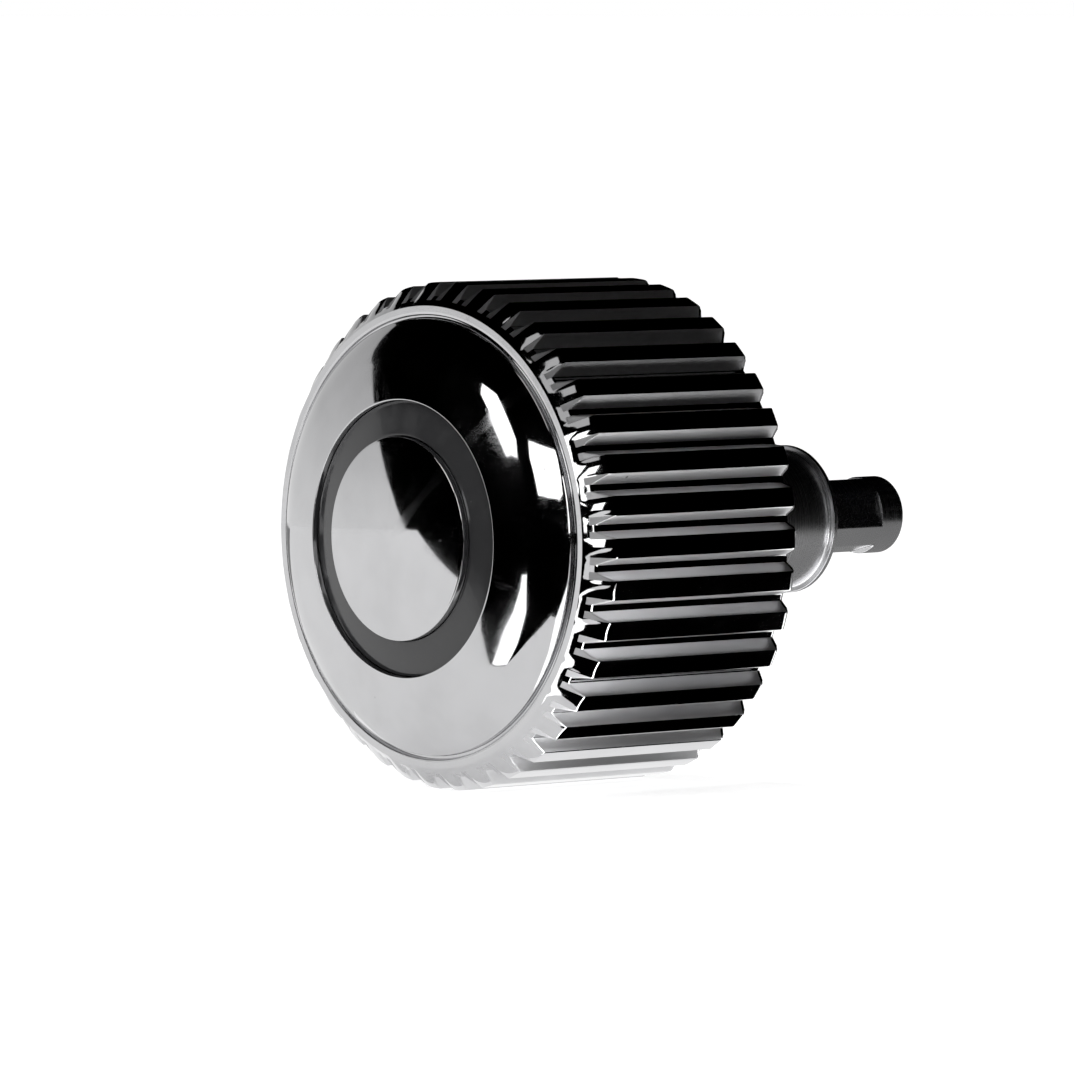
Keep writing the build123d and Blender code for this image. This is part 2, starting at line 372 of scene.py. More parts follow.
class Recipe:
    """The node tree of a material or of the world, filled step by step."""

    def __init__(self, owner: Union[bpy.types.Material, bpy.types.World]) -> None:
        """Empties the tree of a new material or world.

        Args:
            owner: The material or world.
        """
        owner.use_nodes = True
        self.owner, self.tree = owner, owner.node_tree
        self.tree.nodes.clear()

    @classmethod
    def named(cls, name: str) -> "Recipe":
        """Starts a new material."""
        return cls(bpy.data.materials.new(name))

    def fill(self, socket: bpy.types.NodeSocket, value: Any) -> None:
        """Links a value to an input socket, or sets the socket to a number or a colour.

        Args:
            socket: The input socket.
            value: The value, the number or the colour's three parts.
        """
        if isinstance(value, Value):
            self.tree.links.new(value.socket, socket)
        else:
            socket.default_value = (*value, 1) if socket.type == "RGBA" else value

    def add(
        self, kind: str, settings: dict[str, Any], sockets: dict[Any, Any], output: Any = 0
    ) -> Optional[Value]:
        """Adds one node.

        Args:
            kind: The node's type.
            settings: Properties of the node, set first.
            sockets: Numbers, colours or values for its input sockets.
            output: Name or place of the output that is wanted.

        Returns:
            The value of that output, or None for a node without outputs.
        """
        node = self.tree.nodes.new(kind)
        for name, setting in settings.items():
            setattr(node, name, setting)
        for name, value in sockets.items():
            self.fill(node.inputs[name], value)
        return Value(self, node.outputs[output]) if node.outputs else None

    def mix(self, share: Number, start: Any, end: Any) -> Value:
        """Colour between two others.

        Args:
            share: How much of the second is in it.
            start: First colour.
            end: Second colour.

        Returns:
            The mixed colour.
        """
        node = self.tree.nodes.new("ShaderNodeMix")
        node.data_type = "RGBA"
        shares = [s for s in node.inputs if s.type == "VALUE" and s.enabled]
        colours = [s for s in node.inputs if s.type == "RGBA"]
        for socket, value in zip((shares[0], *colours), (share, start, end)):
            self.fill(socket, value)
        return Value(self, next(s for s in node.outputs if s.type == "RGBA"))

    @cached_property
    def place(self) -> Value:
        """The piece's own coordinates."""
        return self.add("ShaderNodeTexCoord", {}, {}, "Object")

    def ways(self) -> tuple[Value, Value, Value, Value]:
        """X, Y and Z of a place on the piece, and its distance from the crown's axis."""
        x, y, z = (self.add("ShaderNodeSeparateXYZ", {}, {0: self.place}, way) for way in "XYZ")
        return x, y, z, (x**2 + z**2) ** 0.5

    def seen(self, mirrored: float = 1.0) -> Value:
        """How much of a light is shown to what looks at it.

        Args:
            mirrored: The share that surfaces mirror.

        Returns:
            1 for the camera and what lies behind glass, and the share for mirrors.
        """
        camera, glossy, through = (
            self.add("ShaderNodeLightPath", {}, {}, f"Is {kind} Ray")
            for kind in ("Camera", "Glossy", "Transmission")
        )
        return camera + glossy * mirrored + through

    def noise(
        self, grain: float, stretch: Triple = (1, 1, 1), turn: float = 0.0, detail: float = 2.0
    ) -> Value:
        """Noise on the piece.

        Args:
            grain: Size of its grains in millimetres.
            stretch: Scale of the pattern along X, Y and Z; a small one draws it out.
            turn: Angle about Y in degrees, by which it is turned first.
            detail: Number of finer layers.

        Returns:
            The noise, about 0.5.
        """
        rotation = (0, math.radians(turn), math.radians(turn) / 2)
        turned_place = self.add("ShaderNodeMapping", {}, {"Vector": self.place, "Rotation": rotation})
        drawn = self.add("ShaderNodeVectorMath", {"operation": "MULTIPLY"}, {0: turned_place, 1: stretch})
        scale = 1 / (grain * MILLIMETRE)
        return self.add("ShaderNodeTexNoise", {}, {"Vector": drawn, "Scale": scale, "Detail": detail})

    def lathe_lines(self, width: float) -> Value:
        """Fine rings, as a turning tool leaves them on sides and faces alike.

        Args:
            width: Width of a line in millimetres.

        Returns:
            The lines' height, about 0.5.
        """
        _, along, _, radius = self.ways()
        across = self.add("ShaderNodeCombineXYZ", {}, {"X": radius, "Y": along})
        return self.add(
            "ShaderNodeTexNoise", {"noise_dimensions": "2D"},
            {"Vector": across, "Scale": 1 / (width * MILLIMETRE), "Detail": 3.0, "Roughness": 0.7},
        )

    def bump(self, height: Value, strength: float, depth: float) -> Value:
        """Normals of a surface with a pattern pressed into it, to a depth in metres."""
        return self.add("ShaderNodeBump", {}, {"Height": height, "Strength": strength, "Distance": depth})

    def close(self, shader: Value, kind: str = "Material") -> bpy.types.ID:
        """Ends the recipe with a shader, and returns the material or world."""
        self.add(f"ShaderNodeOutput{kind}", {}, {"Surface": shader})
        return self.owner

    def surface(self, **sockets: Any) -> bpy.types.Material:
        """Ends a material with the general shader; _ stands for the spaces in its sockets' names."""
        named = {name.replace("_", " "): value for name, value in sockets.items()}
        return self.close(self.add("ShaderNodeBsdfPrincipled", {}, named))


@dataclass(frozen=True)
class Patches:
    """Cloudy patches, with their grain in millimetres and the span of the noise in which they rise.

    Whole, they change the colour by their share and add what they dull to the roughness.
    """

    grain: float
    span: Span
    dulls: float
    share: float = 0.5
    detail: float = 3.0

    def mask(self, recipe: Recipe) -> Value:
        """Where the patches are, from 0 to 1."""
        return recipe.noise(self.grain, detail=self.detail).ramp(*self.span)


@dataclass(frozen=True)
class Specks:
    """Sparse round specks.

    Their places lie a spacing apart, in millimetres, and a part of them has one. The size is
    the largest one's, as a share of the spacing.
    """

    spacing: float
    size: float
    part: float
    share: float
    dulls: float = 0.2

    def mask(self, recipe: Recipe) -> Value:
        """Where the specks are.

        Args:
            recipe: The material.

        Returns:
            A value from 0 to 1.
        """
        sockets = {"Vector": recipe.place, "Scale": 1 / (self.spacing * MILLIMETRE)}
        distance, colour = (
            recipe.add("ShaderNodeTexVoronoi", {}, sockets, way) for way in ("Distance", "Color")
        )
        chosen = recipe.add("ShaderNodeSeparateColor", {}, {0: colour}).ramp(1 - self.part, 1 - self.part / 2)
        return distance.ramp(self.size, self.size / 2) * chosen


@dataclass(frozen=True)
class Scratches:
    """Fine straight scratches that come in patches.

    They have a width in millimetres, a direction about Y in degrees, and a rarity, which is
    how high the noise has to rise for one.
    """

    width: float
    turn: float
    rarity: float
    edge: float = 0.06
    stretch: Triple = (1, 0.02, 0.35)
    patch_grain: float = 0.9
    patch_turn: float = 20
    patch_span: Span = (0.45, 0.65)

    def mask(self, recipe: Recipe) -> Value:
        """Where the scratches are.

        Args:
            recipe: The material.

        Returns:
            A value from 0 to 1.
        """
        start, end = self.rarity, self.rarity + self.edge
        lines = recipe.noise(self.width, self.stretch, self.turn, detail=1).ramp(start, end)
        return lines * recipe.noise(self.patch_grain, turn=self.turn + self.patch_turn).ramp(*self.patch_span)


def toned(colour: Colour, tone: float) -> Colour:
    """A colour made darker or paler."""
    return tuple(tone * part for part in colour)


# Where the flutes' walls are, each a step from none to all: by the cosine and the sine of the
# flutes' phase, and in metres by the distance from the axis and by Y.
FLUTE_MOUTH: Span = (0.20, 0.08)
FLUTE_WALL: Span = (0.48, 0.56)
RIM_OUTSIDE: Span = (0.003498, 0.003488)
RIM_INSIDE: Span = (0.00325, 0.00326)
RIM_REAR: Span = (-0.00003, -0.00006)
BRIGHT_WALL_SHARE = 0.75


@dataclass(frozen=True)
class Steel:
    """Stainless steel, from mirror polish to a turned face. Widths in millimetres, bump in metres."""

    name: str
    slot: str
    colour: Colour = (0.62, 0.62, 0.63)
    roughness: float = 0.05
    haze: Patches = Patches(0.8, (0.35, 0.75), dulls=0.03)
    haze_tone: float = 0.86
    specks: Specks = Specks(0.33, 0.09, 0.12, share=0.8)
    speck_tone: float = 0.25
    scratches: tuple[Scratches, Scratches] = (Scratches(0.006, 24.0, 0.60), Scratches(0.005, -51.0, 0.62))
    scratch_depth: float = 0.25
    scratch_dulls: float = 0.08
    edge_span: Span = (0.53, 0.60)
    edge_dulls: float = 0.04
    line_depth: float = 0.0
    line_width: float = 0.012
    line_span: Span = (0.4, 0.7)
    line_dulls: float = 0.08
    flute_roughness: float = 0.0
    bump_strength: float = 0.25
    bump_depth: float = 4e-7

    def material(self) -> bpy.types.Material:
        """Builds the steel.

        Returns:
            A metal with haze, micro-scratches, specks and worn edges.
        """
        recipe = Recipe.named(self.name)
        cloud, specks = self.haze.mask(recipe), self.specks.mask(recipe)
        fine, crossing = (scratches.mask(recipe) for scratches in self.scratches)
        fine = fine + crossing
        edge = recipe.add("ShaderNodeNewGeometry", {}, {}, "Pointiness").ramp(*self.edge_span)
        lines = recipe.lathe_lines(self.line_width)
        colour = recipe.mix(cloud * self.haze.share, self.colour, toned(self.colour, self.haze_tone))
        colour = recipe.mix(specks * self.specks.share, colour, toned(self.colour, self.speck_tone))
        roughness = self.roughness + cloud * self.haze.dulls + fine * self.scratch_dulls
        roughness = roughness + specks * self.specks.dulls + edge * self.edge_dulls
        if self.line_depth:
            roughness = roughness + lines.ramp(*self.line_span) * self.line_dulls
        if self.flute_roughness:
            roughness = roughness + self.flute_mask(recipe) * self.flute_roughness
        height = 0.0 - fine * self.scratch_depth - specks + lines * self.line_depth
        normal = recipe.bump(height, self.bump_strength, self.bump_depth)
        return recipe.surface(Base_Color=colour, Metallic=1.0, Roughness=roughness, Normal=normal)

    @staticmethod
    def flute_mask(recipe: Recipe) -> Value:
        """Dullness of each flute's walls, one of which is satin and the other nearly bright.

        Args:
            recipe: The material.

        Returns:
            1 on the satin wall, a smaller share on the other, and 0 elsewhere.
        """
        x, y, z, radius = recipe.ways()
        phase = z.reckon("ARCTAN2", x) * FLUTES
        side, (start, end) = phase.reckon("SINE"), FLUTE_WALL
        satin = side.ramp(-start, -end) + side.ramp(start, end) * BRIGHT_WALL_SHARE
        rim = radius.ramp(*RIM_OUTSIDE) * radius.ramp(*RIM_INSIDE)
        return rim * phase.reckon("COSINE").ramp(*FLUTE_MOUTH) * satin * y.ramp(*RIM_REAR)


@dataclass(frozen=True)
class Lacquer:
    """Dark lacquer in the dome's groove. Grains in millimetres, bump in metres."""

    name: str = "dark_lacquer"
    slot: str = "lacquer"
    colour: Colour = (0.042, 0.042, 0.044)
    roughness: float = 0.16
    coat: float = 0.3
    swell_grain: float = 0.22
    rubbed: Patches = Patches(0.35, (0.45, 0.75), dulls=0.1, detail=4.0)
    rubbed_tone: float = 1.25
    dust: Specks = Specks(0.11, 0.10, 0.14, share=0.5)
    dust_colour: Colour = (0.2, 0.2, 0.2)
    bump_strength: float = 0.4
    bump_depth: float = 3e-6

    def material(self) -> bpy.types.Material:
        """Builds the lacquer.

        Returns:
            A dark coat with a faint swell, fine dust and rubbed patches.
        """
        recipe = Recipe.named(self.name)
        rubbed, dust = self.rubbed.mask(recipe), self.dust.mask(recipe)
        colour = recipe.mix(rubbed * self.rubbed.share, self.colour, toned(self.colour, self.rubbed_tone))
        colour = recipe.mix(dust * self.dust.share, colour, self.dust_colour)
        roughness = self.roughness + rubbed * self.rubbed.dulls + dust * self.dust.dulls
        normal = recipe.bump(recipe.noise(self.swell_grain), self.bump_strength, self.bump_depth)
        return recipe.surface(Base_Color=colour, Roughness=roughness, Normal=normal, Coat_Weight=self.coat)


@dataclass(frozen=True)
class Rubber:
    """Satin black rubber. Grains in millimetres, bump in metres."""

    name: str = "satin_rubber"
    slot: str = "black_rubber"
    colour: Colour = (0.02, 0.02, 0.021)
    roughness: float = 0.5
    grain: float = 0.02
    bloom: Patches = Patches(0.3, (0.5, 0.8), dulls=0.15)
    bloom_colour: Colour = (0.05, 0.05, 0.05)
    bump_strength: float = 0.5
    bump_depth: float = 2e-6

    def material(self) -> bpy.types.Material:
        """Builds the rubber.

        Returns:
            A satin black with a fine grain and a pale bloom.
        """
        recipe = Recipe.named(self.name)
        bloom = self.bloom.mask(recipe)
        colour = recipe.mix(bloom * self.bloom.share, self.colour, self.bloom_colour)
        normal = recipe.bump(recipe.noise(self.grain, detail=3.0), self.bump_strength, self.bump_depth)
        roughness = self.roughness + bloom * self.bloom.dulls
        return recipe.surface(Base_Color=colour, Roughness=roughness, Normal=normal)


Finish = Union[Steel, Lacquer, Rubber]

MIRROR = Steel(
    "mirror_steel", "head_steel",
    roughness=0.035, haze=Patches(0.8, (0.35, 0.75), dulls=0.02), flute_roughness=0.5,
)
POST_STEEL = Steel("fine_turned_steel", "post_steel", roughness=0.24, line_depth=0.6)
COUPLER_STEEL = Steel("milled_steel", "coupler_steel", roughness=0.2, line_depth=0.4)
BUSH_STEEL = Steel("turned_steel", "bush_steel", roughness=0.14, line_depth=1.0)
WASHER_STEEL = Steel("stamped_steel", "washer_steel", roughness=0.2, scratch_depth=0.6)
WIRE_STEEL = Steel("spring_wire", "spring_steel", (0.5, 0.5, 0.52), 0.18, scratch_depth=0.8)
LACQUER = Lacquer()
RUBBER = Rubber()


def dress(piece: bpy.types.Object, finish: Finish, body: Body, node: str) -> bpy.types.Object:
    """Gives a piece its finish and its body, and hides the node that it replaces.

    Args:
        piece: The finished mesh.
        finish: What it is made of.
        body: The body that carries it.
        node: The node that it replaces.

    Returns:
        The piece.
    """
    piece.data.materials.clear()
    piece.data.materials.append(finish.material())
    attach(piece, body.value)
    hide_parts(node)
    faces = sum(len(face.vertices) - 2 for face in piece.data.polygons)
    LOG.info("%s: %d triangles, %s, on %s", piece.name, faces, finish.name, body.value)
    return piece


def rubber_ring(name: str, centre: Point, section: float, node: str) -> bpy.types.Object:
    """Makes a round rubber ring on the crown, from its section's middle as (radius, Y) and radius."""
    outline = arc_points(centre, section, 0, 360 - 360 / ROUND_FACES, ROUND_FACES - 1)
    return dress(turned(name, outline), RUBBER, Body.CROWN, node)


# Sub-assemblies

# Where the columns of points lie across a flute's wall and the land beside it, and the points
# of each column along the tooth's bevel, its side and the seat face, all as shares of the way
WALL_SHARES = (0.35, 0.7)
LAND_SHARES = (0.2, 0.45, 0.72, 1)
BEVEL_SHARES = (0.1, 0.25, 0.4, 0.55, 0.7, 0.85, 1.0)
TOOTH_SHARES = (0.012, 0.1, 0.3, 0.5, 0.7, 0.9, 0.988)
SEAT_SHARES = (0.08, 0.5, 1)
REAR_STEPS = 6


@dataclass
class Head:
    """The domed, fluted head with its lacquered ring and its gasket. Sizes in millimetres."""

    radius: float = 3.5
    # Dome, with its middle arc, the arc at its edge and the fine groove at its foot
    dome_radius: float = 3.0
    dome_foot: float = -3.7
    middle_arc: float = 9.6487
    middle_centre: float = 5.3187
    edge_arc: float = 1.2
    edge_centre: Point = (2.1515, -2.8515)
    join: float = 14.753
    edge_slope: float = 45.0
    foot_run: float = 0.012
    foot_edge: float = 0.008
    groove_radius: float = 3.06
    groove_depth: float = 0.09
    groove_root: float = 0.015
    # Rim, with its flat front, the bevel of its teeth, the flutes and their rear rounding
    front: float = -3.655
    front_edge: float = 0.01
    front_run: float = 0.05
    bevel_start: float = 3.18
    bevel_end: float = -3.33
    bevel_crown: float = 0.02
    tooth_pillow: float = 0.026
    rear_rounding: float = 0.06
    flute_half: float = 0.155
    floor_half: float = 0.05
    flute_floor: float = 3.31
    flute_edge: float = 0.011
    edge_room: float = 0.03
    # Lacquered ring and its groove, with depths from the dome's face
    inlay: Span = (1.40, 1.90)
    inlay_gap: float = 0.01
    inlay_floor: float = 0.15
    inlay_top: float = 0.09
    inlay_edge: float = 0.012
    inlay_root: float = 0.02
    lacquer_foot: float = 0.004
    # How far the dome's own points stay from the groove's edge, its root and the lacquer's edge
    edge_run: float = 0.03
    root_run: float = 0.06
    lacquer_run: float = 0.05
    # Inside, with the points that keep the seat face flat
    seat_inner: float = 3.15
    seat_points: Span = (2.6, 2.14)
    mouth: Point = (2.1, -0.1)
    mouth_edge: float = 0.02
    thread_crest: float = 2.0
    thread_root: float = 2.15
    thread_end: float = -1.95
    thread_pitch: float = 0.35
    thread_turns: int = 5
    thread_flat: float = 0.02
    chamber: float = 2.2
    chamber_floor: float = -2.7
    chamber_edge: float = 0.01
    chamber_roots: Span = (0.02, 0.04)
    socket: Point = (0.97, -3.3)
    # Gasket, and its washer's hole, outer radius, front, rear and rounding
    gasket_centre: Point = (1.58, -2.44)
    gasket_section: float = 0.25
    washer_ring: tuple[float, ...] = (1.25, 2.13, -2.18, -1.98, 0.025)

    @property
    def mouth_turn(self) -> float:
        """Angle from the middle of a groove to its mouth's edge, in degrees."""
        return math.degrees(math.asin(self.flute_half / self.radius))

    @property
    def rear_arc(self) -> tuple[float, float]:
        """Radius at which the rear rounding's centre lies, and the rounding's length."""
        return self.radius - self.rear_rounding, self.rear_rounding * math.pi / 2

    def dome_level(self, radius: float, depth: float = 0.0) -> Point:
        """Point of the dome's middle at a radius, sunk by a depth."""
        return (radius, self.middle_centre - math.sqrt((self.middle_arc - depth) ** 2 - radius**2))

    def dome_run(self, start: float, end: float, steps: int, depth: float = 0.0) -> list[Point]:
        """Points along the dome's middle arc between two radii, sunk by a depth."""
        return [self.dome_level(start + (end - start) * step / steps, depth) for step in range(steps + 1)]

    def front_outline(self) -> list[Point]:
        """Outline of the head's front.

        Returns:
            The points from the middle of the dome to the start of the bevel.
        """
        inner, outer = self.inlay
        join_radius = self.middle_arc * math.sin(math.radians(self.join))
        groove_floor = self.dome_foot + self.groove_depth
        return rounded([
            *self.dome_run(0, inner - self.edge_run, steps=9),
            (*self.dome_level(inner), self.inlay_edge),
            (*self.dome_level(inner, self.inlay_floor), self.inlay_root),
            *self.dome_run(inner + self.root_run, outer - self.root_run, steps=3, depth=self.inlay_floor),
            (*self.dome_level(outer, self.inlay_floor), self.inlay_root),
            (*self.dome_level(outer), self.inlay_edge),
            *self.dome_run(outer + self.edge_run, join_radius, steps=6)[:-1],
            *arc_points(self.edge_centre, self.edge_arc, self.join, self.edge_slope, steps=18)[:-1],
            (self.dome_radius - self.foot_run, self.dome_foot - self.foot_run),
            (self.dome_radius, self.dome_foot, self.foot_edge),
            (self.dome_radius, groove_floor, self.groove_root),
            (self.groove_radius, groove_floor, self.groove_root),
            (self.groove_radius, self.front, self.front_edge),
            (self.groove_radius + self.front_run, self.front),
            (self.bevel_start, self.front),
        ])

    def bevel_level(self, radius: float, turn: float) -> float:
        """Y of the bevel, on which each tooth's front is slightly domed.

        Args:
            radius: The radius in millimetres.
            turn: The angle from the middle of a groove in degrees.

        Returns:
            The Y in millimetres.
        """
        along = (radius - self.bevel_start) / (self.radius - self.bevel_start)
        chord = self.front + (self.bevel_end - self.front) * along
        aside = min(1.0, (HALF_PITCH - abs(turn)) / (HALF_PITCH - self.mouth_turn))
        fade = min(1.0, max(0.0, (radius - self.bevel_start) / (self.flute_floor - self.bevel_start)))
        pillow = self.tooth_pillow * aside**2 * fade**2 * (3 - 2 * fade)
        return chord - 4 * self.bevel_crown * along * (1 - along) + pillow

    def rear_point(self, along: float) -> Point:
        """Point of the rear rounding and the seat face behind it.

        Args:
            along: Its way from the rim's side in millimetres.

        Returns:
            The point as (radius, Y).
        """
        centre, quarter = self.rear_arc
        if along >= quarter:
            return (centre - (along - quarter), 0.0)
        turn = along / self.rear_rounding
        return (centre + self.rear_rounding * math.cos(turn), self.rear_rounding * (math.sin(turn) - 1))

    def rear_start(self, level: float) -> float:
        """Place at which the rear rounding comes down to a radius.

        Args:
            level: The radius in millimetres.

        Returns:
            Its way from the rim's side in millimetres.
        """
        centre, quarter = self.rear_arc
        over = level - centre
        if over <= 0:
            return quarter - over
        return self.rear_rounding * math.acos(min(1.0, over / self.rear_rounding))

    def flute_level(self, turn: float) -> float:
        """Radius of the rim's side at an angle from the middle of a groove.

        Args:
            turn: The angle in degrees.

        Returns:
            The radius of the groove's floor or wall, or of the land beside it.
        """
        slope = (self.flute_half - self.floor_half) / (self.radius - self.flute_floor)
        tangent = math.tan(math.radians(abs(turn)))
        across = (self.flute_floor * slope - self.floor_half) / max(slope - tangent, 1e-6)
        across = max(across, self.flute_floor)
        return min(across / math.cos(math.radians(turn)), self.radius)

    def column_turns(self) -> list[float]:
        """Angles of the columns across one pitch.

        Returns:
            The angles from the middle of a groove in degrees, from one land's middle to the next.
        """
        corner, mouth = math.degrees(math.atan2(self.floor_half, self.flute_floor)), self.mouth_turn
        side = [corner / 2, corner, *((1 - share) * corner + share * mouth for share in WALL_SHARES), mouth]
        side += [mouth + (HALF_PITCH - mouth) * share for share in LAND_SHARES]
        return [-turn for turn in reversed(side)] + [0.0] + side

    def rim_column(self, turn: float) -> list[Point]:
        """Outline of the rim at an angle, from the bevel over the side to the seat face.

        Args:
            turn: Angle from the middle of a groove in degrees.

        Returns:
            The points, equally many in each column.
        """
        level = self.flute_level(turn)
        bevel = [self.bevel_start + (level - self.bevel_start) * share for share in BEVEL_SHARES]
        points = [(radius, self.bevel_level(radius, turn)) for radius in bevel]
        start, along = points[-1][1], self.rear_start(level)
        end = self.rear_point(along)[1]
        points += [(level, start + (end - start) * share) for share in TOOTH_SHARES]
        centre, quarter = self.rear_arc
        way_end = quarter + centre - self.seat_inner
        middle = max(quarter, along + self.rear_rounding / 2)
        points += [
            self.rear_point(along + (middle - along) * step / REAR_STEPS) for step in range(REAR_STEPS + 1)
        ]
        points += [self.rear_point(middle + (way_end - middle) * share) for share in SEAT_SHARES]
        return points

    def inside_outline(self) -> list[Point]:
        """Outline of the head's inside.

        Returns:
            The points from the seat face to the axis.
        """
        crest, root, half = self.thread_crest, self.thread_root, self.thread_flat / 2
        corners = [(radius, 0.0) for radius in self.seat_points]
        corners += [(self.mouth[0], 0.0, self.mouth_edge), (crest, self.mouth[1])]
        for turn in reversed(range(self.thread_turns)):
            low = self.thread_end + turn * self.thread_pitch
            middle = low + self.thread_pitch / 2
            corners += [(crest, low + self.thread_pitch - half), (root, middle + half), (root, middle - half)]
            corners += [(crest, low + half)] if turn else [(crest, self.thread_end, self.chamber_edge)]
        corners += [
            (self.chamber, self.thread_end, self.chamber_roots[0]),
            (self.chamber, self.chamber_floor, self.chamber_roots[1]),
            (self.socket[0], self.chamber_floor, self.chamber_edge),
            self.socket,
            (0.0, self.socket[1]),
        ]
        return rounded(corners, steps=2)

    def body(self) -> bpy.types.Object:
        """Makes the head: one pitch of it as a grid, which is then copied around the axis.

        Returns:
            The dressed head.
        """
        turns = self.column_turns()
        columns = [[*self.front_outline(), *self.rim_column(turn), *self.inside_outline()] for turn in turns]

        def place(column: int, row: int) -> Vector:
            """Place of a grid point on the head."""
            (radius, y), turn = columns[column][row], math.radians(turns[column] + HALF_PITCH)
            return Vector((radius * math.cos(turn), y, radius * math.sin(turn)))

        blank = Blank.grid("domed_head", len(turns) - 1, len(columns[0]) - 1, place).weld()
        rim = self.flute_floor - self.edge_room
        blank.round_edges(lambda middle: math.hypot(middle.x, middle.z) > rim, self.flute_edge)
        blank.spin(FLUTES, copies=True)
        return dress(blank.finish(), MIRROR, Body.CROWN, "crown_head")

    def lacquer(self) -> bpy.types.Object:
        """Makes the lacquered ring in the dome, which lies below the dome's face.

        Returns:
            The dressed ring.
        """
        inner, outer = self.inlay[0] + self.inlay_gap, self.inlay[1] - self.inlay_gap
        outline = rounded([
            (*self.dome_level(inner, self.inlay_floor), self.lacquer_foot),
            (*self.dome_level(inner, self.inlay_top), self.inlay_edge),
            *self.dome_run(inner + self.lacquer_run, outer - self.lacquer_run, steps=6, depth=self.inlay_top),
            (*self.dome_level(outer, self.inlay_top), self.inlay_edge),
            (*self.dome_level(outer, self.inlay_floor), self.lacquer_foot),
        ], closed=True)
        return dress(turned("lacquered_ring", outline, columns=192), LACQUER, Body.CROWN, "face_inlay")

    def gasket(self) -> bpy.types.Object:
        """Makes the rubber ring in the chamber."""
        return rubber_ring("chamber_gasket", self.gasket_centre, self.gasket_section, "crown_gasket")

    def washer(self) -> bpy.types.Object:
        """Makes the washer that keeps the gasket in place."""
        piece = turned("gasket_cover_washer", ring_outline(*self.washer_ring))
        return dress(piece, WASHER_STEEL, Body.CROWN, "gasket_washer")


@dataclass
class Post:
    """The post with its rubber ring, its guide bush and the spring in it. Sizes in millimetres."""

    radius: float = 0.96
    front: float = -3.3
    floor: float = -3.0
    end: float = 3.07
    rim_radius: float = 1.05
    rim_front: float = 2.99
    side_point: float = 2.2
    bore: float = 0.70
    bush_radius: float = 0.86
    bush_seat: float = 0.87
    bush: Span = (2.79, 3.04)
    bush_hole: float = 0.565
    bush_flat: float = 0.50
    groove: Span = (1.05, 1.33)
    groove_radius: float = 0.83
    # Roundings of the front, the other edges, the thin lips, the bush's step and the roots
    front_edge: float = 0.05
    edge: float = 0.02
    lip: float = 0.012
    step_edge: float = 0.01
    root: float = 0.03
    ring_section: float = 0.13
    ring_centre: Point = (0.97, 1.19)
    flat_turn: float = 14.0
    wire: float = 0.1
    coil_radius: float = 0.51
    coil_start: float = -2.89
    coil_length: float = 4.95
    coil_turns: int = 10
    coil_steps: int = 48
    coil_keep: float = 0.757

    def tube(self) -> bpy.types.Object:
        """Makes the post on the lathe.

        Returns:
            The dressed post.
        """
        outline = rounded([
            (0.0, self.front),
            (self.radius, self.front, self.front_edge),
            (self.radius, self.groove[0], self.edge),
            (self.groove_radius, self.groove[0], self.root),
            (self.groove_radius, self.groove[1], self.root),
            (self.radius, self.groove[1], self.edge),
            (self.radius, self.side_point),
            (self.radius, self.rim_front, self.root),
            (self.rim_radius, self.rim_front, self.lip),
            (self.rim_radius, self.end, self.edge),
            (self.bush_seat, self.end, self.lip),
            (self.bush_seat, self.bush[0], self.step_edge),
            (self.bore, self.bush[0], self.step_edge),
            (self.bore, self.floor, self.root),
            (0.0, self.floor),
        ], hold=True)
        return dress(turned("post_tube", outline, columns=160, closed=False), POST_STEEL, Body.CROWN, "post")

    def guide(self) -> bpy.types.Object:
        """Makes the bush: a turned ring whose hole is pressed square.

        Returns:
            The dressed bush.
        """
        outline = ring_outline(self.bush_hole, self.bush_radius, *self.bush, self.lip)
        blank = Blank("square_hole_bush").draw(outline, closed=True).spin(COLUMNS)
        hole = (self.bush_hole + self.bush_radius) / 2
        blank.press_flats(lambda co: math.hypot(co.x, co.z) < hole, self.bush_flat, self.flat_turn)
        return dress(blank.finish(), BUSH_STEEL, Body.CROWN, "guide_bush")

    def seal(self) -> bpy.types.Object:
        """Makes the rubber ring in the post's groove."""
        return rubber_ring("post_seal", self.ring_centre, self.ring_section, "post_o_ring")

    def spring(self) -> bpy.types.Object:
        """Makes the coil spring, which sits between the post's floor and the thrust washer.

        Returns:
            The dressed spring.
        """
        blank = Blank(
            "pressure_spring", bpy.ops.mesh.primitive_circle_add,
            vertices=16, radius=self.wire, location=(self.coil_radius, self.coil_start, 0),
        )
        bpy.ops.object.mode_set(mode="OBJECT")
        bpy.ops.object.transform_apply(location=True)
        coil = blank.object.modifiers.new("coil", "SCREW")
        coil.axis, coil.angle, coil.iterations = "Y", FULL_TURN, self.coil_turns
        coil.screw_offset = self.coil_length / self.coil_turns
        coil.steps = coil.render_steps = self.coil_steps
        bpy.ops.object.modifier_apply(modifier=coil.name)
        bpy.ops.object.mode_set(mode="EDIT")
        bpy.ops.mesh.select_all(action="DESELECT")
        bpy.ops.mesh.select_mode(type="EDGE")
        bpy.ops.mesh.select_non_manifold()
        bpy.ops.mesh.edge_face_add()
        bpy.ops.mesh.select_mode(type="VERT")
        piece = dress(blank.weld().finish(), WIRE_STEEL, Body.CROWN, "coil_spring")
        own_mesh(piece)
        return piece


